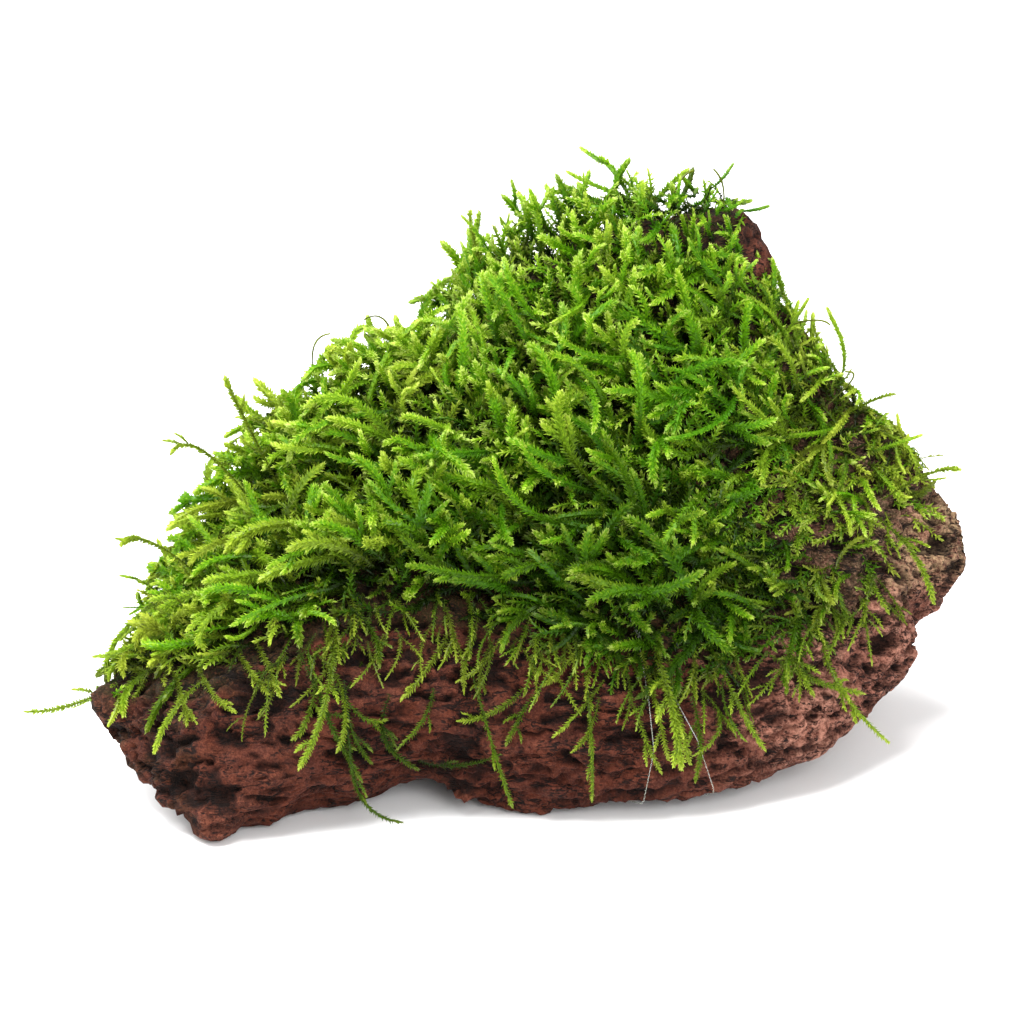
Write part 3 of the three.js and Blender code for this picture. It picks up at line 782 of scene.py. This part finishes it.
def carpet_tones(lines, depths, heights):
    """Tones for the carpet's shoots: painted shade where they are deep in it and painted light at the
    top, in each zone's green.
    """
    roots = lines[:, 0]
    lit = smooth(heights / np.maximum(depths, 3)[:, None], 0.15, 1.0)
    lit += (1 - lit) * 0.8 * smooth(depths, 4.5, 2)[:, None]
    lit *= 1 - 0.45 * zone(roots, LOW_FRONT)[:, None]
    tint = moss_rng.beta(2, 2, len(lines)) + by_zone(roots, COOLER)
    tones = toned(lines, tint, 0.06 + 0.94 * lit)
    # Painted light: shoots at the top, most at the upper left, are painted paler by a higher age.
    painted_light = zone(roots, PAINTED_LIGHT_TOP) * (0.07 + 0.08 * zone(roots, PAINTED_LIGHT_LEFT))
    tones[..., 0] = np.maximum(painted_light, 0.1 * zone(roots, PALER_RIGHT))[:, None]
    return tones


def shoots(chosen, length, start, height, allowance):
    """Shoots rooted at the chosen places. Start and height are shares of the carpet's depth there,
    between which the roots and the tips lie."""
    count = len(chosen)
    depths = moss_depth[chosen] * (1 - 0.45 * clearings[chosen])
    root_heights = depths * moss_rng.uniform(*start, count) - 0.3
    roots = rock_points[chosen] + rock_normals[chosen] * root_heights[:, None]
    x, _, z = roots.T
    lengths = np.clip(moss_rng.normal(length, 0.25 * length, count), 6, 24)
    lengths *= 0.5 + 0.5 * smooth(depths, 1, 5)
    lengths *= (1 - 0.3 * smooth(x, -44, -56)) * (1 - 0.2 * smooth(z, 60, 72))
    rise = np.maximum(depths * moss_rng.uniform(*height, count), 0.6) * (1 + 0.4 * smooth(z, 58, 72))
    lines, upper = grow(roots, rock_normals[chosen], lean_of(roots, depths), lengths, rise,
                        moss_rng.normal(0.05, 0.4, count), moss_rng.normal(0, 0.55, count),
                        moss_rng.normal(0.3, 1.0, count) * (1 - 0.5 * smooth(z, 55, 68)))
    allowance = allowance + moss_rng.exponential(1.2, count) + by_zone(roots, STANDING_OUT)
    lines, kept = within_carpet(lines, allowance)
    lines, heights = clear_of_rock(lines, 0.6)
    tones = carpet_tones(lines, depths, heights)
    size = moss_rng.normal(1, 0.1, count) * (0.55 + 0.45 * kept)
    return {"lines": lines, "upper": upper, "tones": tones, "lengths": lengths * kept, "size": size}


# Small clearings, where the carpet is lower and the eye falls into its dark depth.
clearings = patches(8.5, 2, 9.1, 0.12, 0.5) * (1 - 0.8 * zone(rock_points, FULL_UPPER_LEFT))
undergrowth = shoots(rooted_at(gap=2.2, least_depth=0.9),
                     length=9.5, start=(0, 0.15), height=(0.3, 0.85), allowance=-0.5)
leaders = shoots(rooted_at(gap=3.7, least_depth=2.2),
                 length=14.5, start=(0.25, 0.55), height=(0.4, 0.85), allowance=0.6)
leaders["size"] *= 1.18 - 0.28 * smooth(leaders["lines"][:, 0, 0], 28, 42)
undergrowth["tones"][..., 2] *= 0.8 + 0.2 * smooth(undergrowth["lines"][..., 2], 38, 50)
leaders["tones"][..., 2] = np.maximum(leaders["tones"][..., 2], 0.22)

# The carpet's shoots by where they are rooted: each piece takes those that are left in its place.
MOSS_PIECES = {
    "back": lambda root: root[:, 1] > 48,
    "crown": lambda root: root[:, 2] > 50,
    "left_flank": lambda root: root[:, 0] < -28,
    "centre_left": lambda root: root[:, 0] < -4,
    "centre_right": lambda root: root[:, 0] < 22,
    "right": lambda root: root[:, 0] < FAR_OUT,
}
MOSS_LAYERS = (
    ("undergrowth", undergrowth, {"gap": 0.19, "each": 0.15, "body": 0.18}),
    ("shoots", leaders, {"gap": 0.085, "each": 0.5, "body": 0.38}),
)
for kind, batch, growth in MOSS_LAYERS:
    taken = np.zeros(len(batch["lines"]), dtype=bool)
    for place, inside in MOSS_PIECES.items():
        chosen = inside(batch["lines"][:, 0]) & ~taken
        taken |= chosen
        part = {key: values[chosen] for key, values in batch.items()}
        piece = join_parts(f"moss_{kind}_{place}", moss_parts(**part, **growth))
        finish(piece, moss, "moss", "moss_carpet")

# Strands that hang over the bare front: x and z of the root, of a point on the way and of the
# tip, then the tint and the shade.
FRONT_STRANDS = (
    ((-20, 32), (-16.5, 29.7), (-13.5, 26.5), 0.0, 0.9),
    ((-26.5, 30), (-25.7, 27.5), (-25, 24), 0.0, 0.8),
    ((-24, 30), (-20.5, 27.2), (-19.5, 23.5), 0.3, 0.4),
    ((-10, 27), (-12.8, 22.7), (-16.4, 19.4), -0.1, 0.9),
    ((-12, 20.5), (-13.2, 16.8), (-17, 12.2), 0.2, 0.5),
    ((-2, 27), (-5, 23), (-8.8, 21), -0.1, 0.9),
    ((0.5, 20), (-3.5, 17.3), (-8.6, 16.8), 0.0, 0.8),
    ((9.4, 26), (6.4, 22.3), (3, 20), -0.1, 0.9),
    ((11.7, 21), (8.6, 17.5), (4.6, 14.4), 0.0, 0.95),
    ((11, 19), (9.7, 15), (7.2, 12.4), 0.0, 0.75),
    ((2.8, 20), (0, 16.4), (-2, 12.5), 0.2, 0.5),
    ((17, 24), (18.9, 17.6), (20.6, 10.5), -0.1, 1.0),
    ((20.7, 21), (22.4, 14.7), (23.8, 9.2), 0.0, 0.95),
    ((15.3, 19), (17.4, 13.6), (19.6, 9), 0.0, 0.95),
    ((24, 18), (25.2, 12.2), (24.5, 6.7), 0.2, 0.6),
    ((25.3, 18.5), (28.1, 14.2), (24.3, 11), 0.1, 0.75),
    ((34.7, 22), (42, 17.8), (49, 15), 0.1, 0.8),
    ((37, 23.5), (39.3, 19.8), (41.5, 16.4), 0.1, 0.8),
    ((-18, 20), (-18.7, 13.8), (-14.3, 8.9), 0.3, 0.25),
    ((-14.3, 9.5), (-9, 8.5), (-2.8, 10.9), 0.3, 0.25),
    ((-27.6, 25), (-24.2, 19.2), (-25.2, 13.4), 0.0, 0.85),
    ((-30.7, 25.5), (-26.3, 17), (-22, 8), 0.3, 0.4),
    ((-24.3, 22), (-23.2, 15.6), (-20.6, 10.3), 0.3, 0.35),
    ((-28, 22.5), (-29.3, 17.5), (-31.3, 15), 0.1, 0.7),
    ((-26, 22), (-22, 17.5), (-18.5, 17), 0.2, 0.6),
    ((-40.2, 23.5), (-37.7, 21.9), (-35, 19.9), -0.1, 1.0),
    ((-45.2, 21), (-43, 19.1), (-39.4, 17.8), -0.1, 1.0),
    ((-49.8, 20), (-47.4, 17.9), (-46.3, 15.4), -0.1, 0.9),
    ((-52.9, 18.5), (-54.8, 15.2), (-57.8, 12.3), -0.1, 1.0),
    ((-37.4, 25), (-35.1, 22.6), (-33.2, 19.8), -0.1, 1.0),
)
STRAND_STEPS = 10
STRAND_SHADE = 0.74
FRINGE = {"count": 104, "length": (3.5, 9.5), "from": -36, "to": 52}


def over_face(x, z, gap):
    """Points that lie over the rock's front, seen from straight in front."""
    places = np.column_stack((x, np.full(len(x), -FAR_OUT), z))
    hits = [rock_solid.ray_cast(Vector(place), Vector((0, 1, 0))) for place in places]
    places[:, 1] = [hit[0].y if hit[0] else 10.0 for hit in hits]
    places[:, 1] -= gap
    return places


def curved(start, way, end, steps):
    """Points along a curve that passes by the point on the way, for rows of points."""
    share = np.linspace(0, 1, steps + 1)[:, None]
    bend = 2 * way - (start + end) / 2
    return [(1 - t) ** 2 * start + 2 * t * (1 - t) * bend + t ** 2 * end for t in share]


def length_of(lines):
    return np.linalg.norm(np.diff(lines, axis=1), axis=2).sum(axis=1)


def strand_batch(flat_lines, tint, shade, size):
    """Strands from rows of x and z, laid over the rock's front and swinging out at their tips."""
    count, steps = flat_lines.shape[:2]
    out = np.linspace(0.5, 1.0, steps) + moss_rng.uniform(0, 1.6, (count, 1)) * np.linspace(0, 1, steps) ** 2
    flat = flat_lines.reshape(-1, 2)
    lines = over_face(flat[:, 0], flat[:, 1], out.ravel()).reshape(count, steps, 3)
    lines[:, :, 1] = np.minimum(lines[:, :, 1], 0.5 * (lines[:, :, 1] + lines[:, :, 1].mean(axis=1)[:, None]))
    upper = np.tile((0.0, -1.0, 0.3), (count, 1))
    return {"lines": lines, "upper": upper, "tones": toned(lines, tint, STRAND_SHADE * shade[:, None]),
            "lengths": length_of(lines), "size": size}


placed = [np.array([strand[i] for strand in FRONT_STRANDS], dtype=float) for i in range(5)]
placed_lines = np.stack(curved(*placed[:3], STRAND_STEPS), axis=1)
front = strand_batch(placed_lines, *placed[3:], moss_rng.normal(0.76, 0.06, len(placed_lines)))

# Finer strands fill in between, thickest where the carpet reaches over the rock's rim.
x = moss_rng.uniform(FRINGE["from"], FRINGE["to"], FRINGE["count"])
z = np.interp(x, *np.transpose(ROOTS_FROM)) + moss_rng.uniform(-3, 2, len(x))
fall = moss_rng.uniform(*FRINGE["length"], len(x)) * moss_rng.uniform(0.5, 1, len(x))
side = moss_rng.normal(-0.1, 0.45, len(x)) * fall
start = np.column_stack((x, z))
end = start + np.column_stack((side, -fall))
way = (start + end) / 2 + np.column_stack((moss_rng.normal(0, 0.14, len(x)) * fall, 0.04 * fall))
fringe_lines = np.stack(curved(start, way, end, STRAND_STEPS), axis=1)
fringe = strand_batch(fringe_lines, moss_rng.uniform(-0.2, 0.3, len(x)), moss_rng.uniform(0.35, 0.9, len(x)),
                      moss_rng.normal(0.62, 0.08, len(x)))

for name, batch, gap, each in (("front", front, 0.100, 1.3), ("fringe", fringe, 0.125, 0.6)):
    parts = moss_parts(**batch, gap=gap, each=each, reach=(1.8, 4.5), body=0.20)
    finish(join_parts(f"moss_strands_{name}", parts), moss, "moss", "moss_carpet")

# Trailing shoots
# The longer shoots that hang over the bare rock or stand out past the carpet's edge. Each one
# follows its own line from its root in the carpet, by a point on the way, to its tip.

# Each shoot's root, a point on its way and its tip, then its shade, its size and how many side
# shoots it has.
TRAILING_SHOOTS = {
    "far_left": ((-57.3, 10, 16.6), (-64.1, 9, 13.7), (-70.2, 7, 13.6), 1.0, 0.85, 1.5),
    "left_corner": ((-43.8, 2, 21), (-47.5, -6, 19.5), (-50.1, -8, 14.1), 1.0, 0.8, 1),
    "left_spray": ((-25.8, 6, 27.4), (-26.8, -6, 20.3), (-30.2, -9, 12.3), 0.9, 0.8, 5),
    "over_arch": ((-22, 3, 23), (-23, -7, 10), (-16.4, -7, 3.1), 0.35, 0.7, 2.5),
    "centre_left": ((-7, 4, 22), (-3.9, -5, 14.1), (-1.1, -4.5, 4.3), 0.6, 0.7, 1),
    "centre": ((9, 4, 21), (9.8, -5, 15), (10, -5, 5.4), 0.7, 0.7, 0.6),
    "centre_right": ((18.8, 6, 24.3), (20.9, -5, 18.8), (22.3, -6, 10.9), 1.0, 1.05, 4),
    "right_small": ((28.4, 6, 20.5), (30.7, -2, 17.6), (34.1, -2, 11.8), 0.9, 0.75, 1),
    "right_long": ((42.8, 14, 23), (45.3, 5, 17.8), (51.9, 3, 10.7), 1.0, 0.85, 3),
    "right_down": ((52.1, 27, 35.6), (56.4, 18, 33.2), (59.2, 15, 27), 0.9, 0.85, 1.5),
    "right_tip": ((52.9, 28, 38), (58.6, 22, 44.1), (62.6, 20, 45.4), 1.0, 0.75, 1.5),
    "shoulder": ((48, 42, 46), (52.1, 40, 49.2), (55.4, 38, 51), 0.9, 0.75, 1),
    "left_mid": ((-46, 22, 28), (-52.3, 14, 36.7), (-56.2, 13, 36.6), 1.0, 0.9, 1.5),
    "left_upper": ((-38, 28, 36), (-44.7, 20, 48.1), (-49.2, 18, 48.6), 1.0, 0.9, 1.5),
    "left_high": ((-35, 30, 39), (-39.6, 24, 52.3), (-41.9, 24, 57.8), 1.0, 0.9, 1),
    "crown_left": ((-4, 50, 60), (-6.8, 50, 71.3), (-7.4, 52, 75.1), 1.0, 0.75, 0),
}
TRAILING_STEPS = 12

for name, (root, way, tip, shade, size, each) in TRAILING_SHOOTS.items():
    root, way, tip = (np.array((place,), dtype=float) for place in (root, way, tip))
    lines, _ = clear_of_rock(np.stack(curved(root, way, tip, TRAILING_STEPS), axis=1), 0.7)
    tones = toned(lines, np.array((0.45 - 0.45 * shade,)), 0.85 * shade)
    parts = moss_parts(lines, unit((way - ROCK_CORE) * (0.3, 1, 0.6)), tones, length_of(lines),
                       np.array((size,)), gap=0.095, each=each, reach=(2, 4.5), body=0.25)
    finish(join_parts(f"trailing_{name}", parts), moss, "moss", f"shoot_{name}")

# Old stalks
# A few thin, dry stalks of the moss that have lost their leaves. They are rooted in the carpet and
# stick out past it at the crest and by the edges.

STALK_RADIUS = 0.16
# Each stalk's root, a point on its way and its tip.
OLD_STALKS = (
    ((22.5, 56, 72), (23.7, 57, 77.6), (26.1, 57, 80.2)),
    ((30.1, 56, 72), (30.8, 57, 77.0), (29.2, 57, 80.4)),
    ((-30.6, 43, 52), (-30.6, 44, 56.6), (-28.2, 44, 58.5)),
    ((-23.6, 42, 60.8), (-20.5, 42, 61.6), (-18.6, 42, 58.0)),
    ((39.0, 45, 59.0), (43.7, 46, 60.0), (46.3, 46, 59.3)),
    ((45.5, 41, 48.0), (49.5, 42, 52.0), (48.5, 42, 53.2)),
)
roots, ways, tips = (np.array([stalk[i] for stalk in OLD_STALKS]) for i in range(3))
lines = np.stack(curved(roots, ways, tips, TRAILING_STEPS), axis=1)
sides = sides_of(lines, np.tile((0.0, -1.0, 0.0), (len(lines), 1)))
tones = toned(lines, np.full(len(lines), -0.3), 0.45)
stalks = bodies(lines, sides, tones, length_of(lines), np.full(len(lines), STALK_RADIUS))
finish(join_parts("old_stalks", [stalks]), moss, "moss", "moss_carpet")

# Nylon thread
# Clear fishing line, two turns round the rock and under the moss, pulled tight and knotted where
# they cross on the front.

LINE_GAP = 0.12  # mm, between its middle and the stone
LINE_STIFFNESS = 1.2  # mm, the length over which it bends
NYLON_CLEAR = (0.62, 0.65, 0.63, 1)
NYLON_FILMED = (0.54, 0.57, 0.46, 1)

# Tank water has left a thin, dull film on the thread here and there.
nylon, tree, surface = new_material("clear_nylon")
film = remap(tree, uneven(tree, 2.5, 4), 0.40, 0.60)
tree.links.new(blend(tree, film, NYLON_CLEAR, NYLON_FILMED), surface.inputs["Base Color"])
tree.links.new(remap(tree, film, 0.0, 1.0, 0.25, 0.50), surface.inputs["Roughness"])
surface.inputs["Alpha"].default_value = 0.2

# Under the rock the line is drawn up against the rough stone.
packed_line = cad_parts["nylon_thread"]
line_points = np.array([packed_line.matrix_world @ v.co for v in packed_line.data.vertices]) / MM
line_points -= DRAWING_ZERO
rock_surface = BVHTree.FromPolygons(rock_points.tolist(), rock_faces)
hits = [rock_surface.find_nearest(Vector(point)) for point in line_points]
places, faced = (np.array([hit[i] for hit in hits]) for i in (0, 1))
draw = (places + LINE_GAP * faced - line_points) * smooth(faced[:, 2], -0.1, -0.5)[:, None]
near_line = finder(line_points)
for index, point in enumerate(line_points):
    around = [found[1] for found in near_line.find_range(point, LINE_STIFFNESS)]
    line_points[index] = point + draw[around].mean(axis=0)
line = add_mesh("fishing_line", line_points, [tuple(face.vertices) for face in packed_line.data.polygons])
finish(line, nylon, "nylon", "nylon_thread")

# Floor, light and camera
# A plain white floor under soft white light: a broad lamp above, one behind on the left that
# shines through the moss, and a weak one in front.

CAMERA_TARGET = Vector((0.304, -7.236, 37.2)) * MM
CAMERA_DISTANCE = 412.4 * MM
CAMERA_HEIGHT = math.radians(20)
FLOOR_REACH = 6000.0  # mm, from its middle to each edge

floor_corners = FLOOR_REACH * np.array(((-1, -1, 0), (1, -1, 0), (1, 1, 0), (-1, 1, 0))) - DRAWING_ZERO
floor = add_mesh("floor", floor_corners, [(0, 1, 2, 3)])
paper, tree, surface = new_material("white_paper")
surface.inputs["Base Color"].default_value = (0.93, 0.93, 0.93, 1)
surface.inputs["Roughness"].default_value = 0.9
surface.inputs["Specular IOR Level"].default_value = 0.0
floor.data.materials.append(paper)

world = bpy.data.worlds.new("studio")
world.use_nodes = True
world.node_tree.nodes["Background"].inputs[0].default_value = (1, 1, 1, 1)
world.node_tree.nodes["Background"].inputs[1].default_value = 0.85
bpy.context.scene.world = world
bpy.context.scene.view_settings.view_transform = "Standard"


def add_lamp(name, place, size, watts):
    """A square soft lamp that looks at the rock. Its place and size are in metres."""
    light = bpy.data.lights.new(name, "AREA")
    light.size = size
    light.energy = watts
    lamp = bpy.data.objects.new(name, light)
    lamp.location = place
    lamp.rotation_euler = (CAMERA_TARGET - Vector(place)).to_track_quat("-Z", "Y").to_euler()
    bpy.context.scene.collection.objects.link(lamp)


add_lamp("lamp_above", (-0.08, -0.08, 0.60), size=0.32, watts=7.0)
add_lamp("lamp_behind", (-0.45, 0.28, 0.35), size=0.35, watts=6.0)
add_lamp("lamp_front", (0.26, -0.60, 0.38), size=0.4, watts=3.6)

camera = bpy.data.objects.new("camera", bpy.data.cameras.new("camera"))
camera.data.lens = 100
camera.data.sensor_width = 36
away = Vector((0, -math.cos(CAMERA_HEIGHT), math.sin(CAMERA_HEIGHT)))
camera.location = CAMERA_TARGET + away * CAMERA_DISTANCE
camera.rotation_euler = (-away).to_track_quat("-Z", "Y").to_euler()
bpy.context.scene.collection.objects.link(camera)
bpy.context.scene.camera = camera
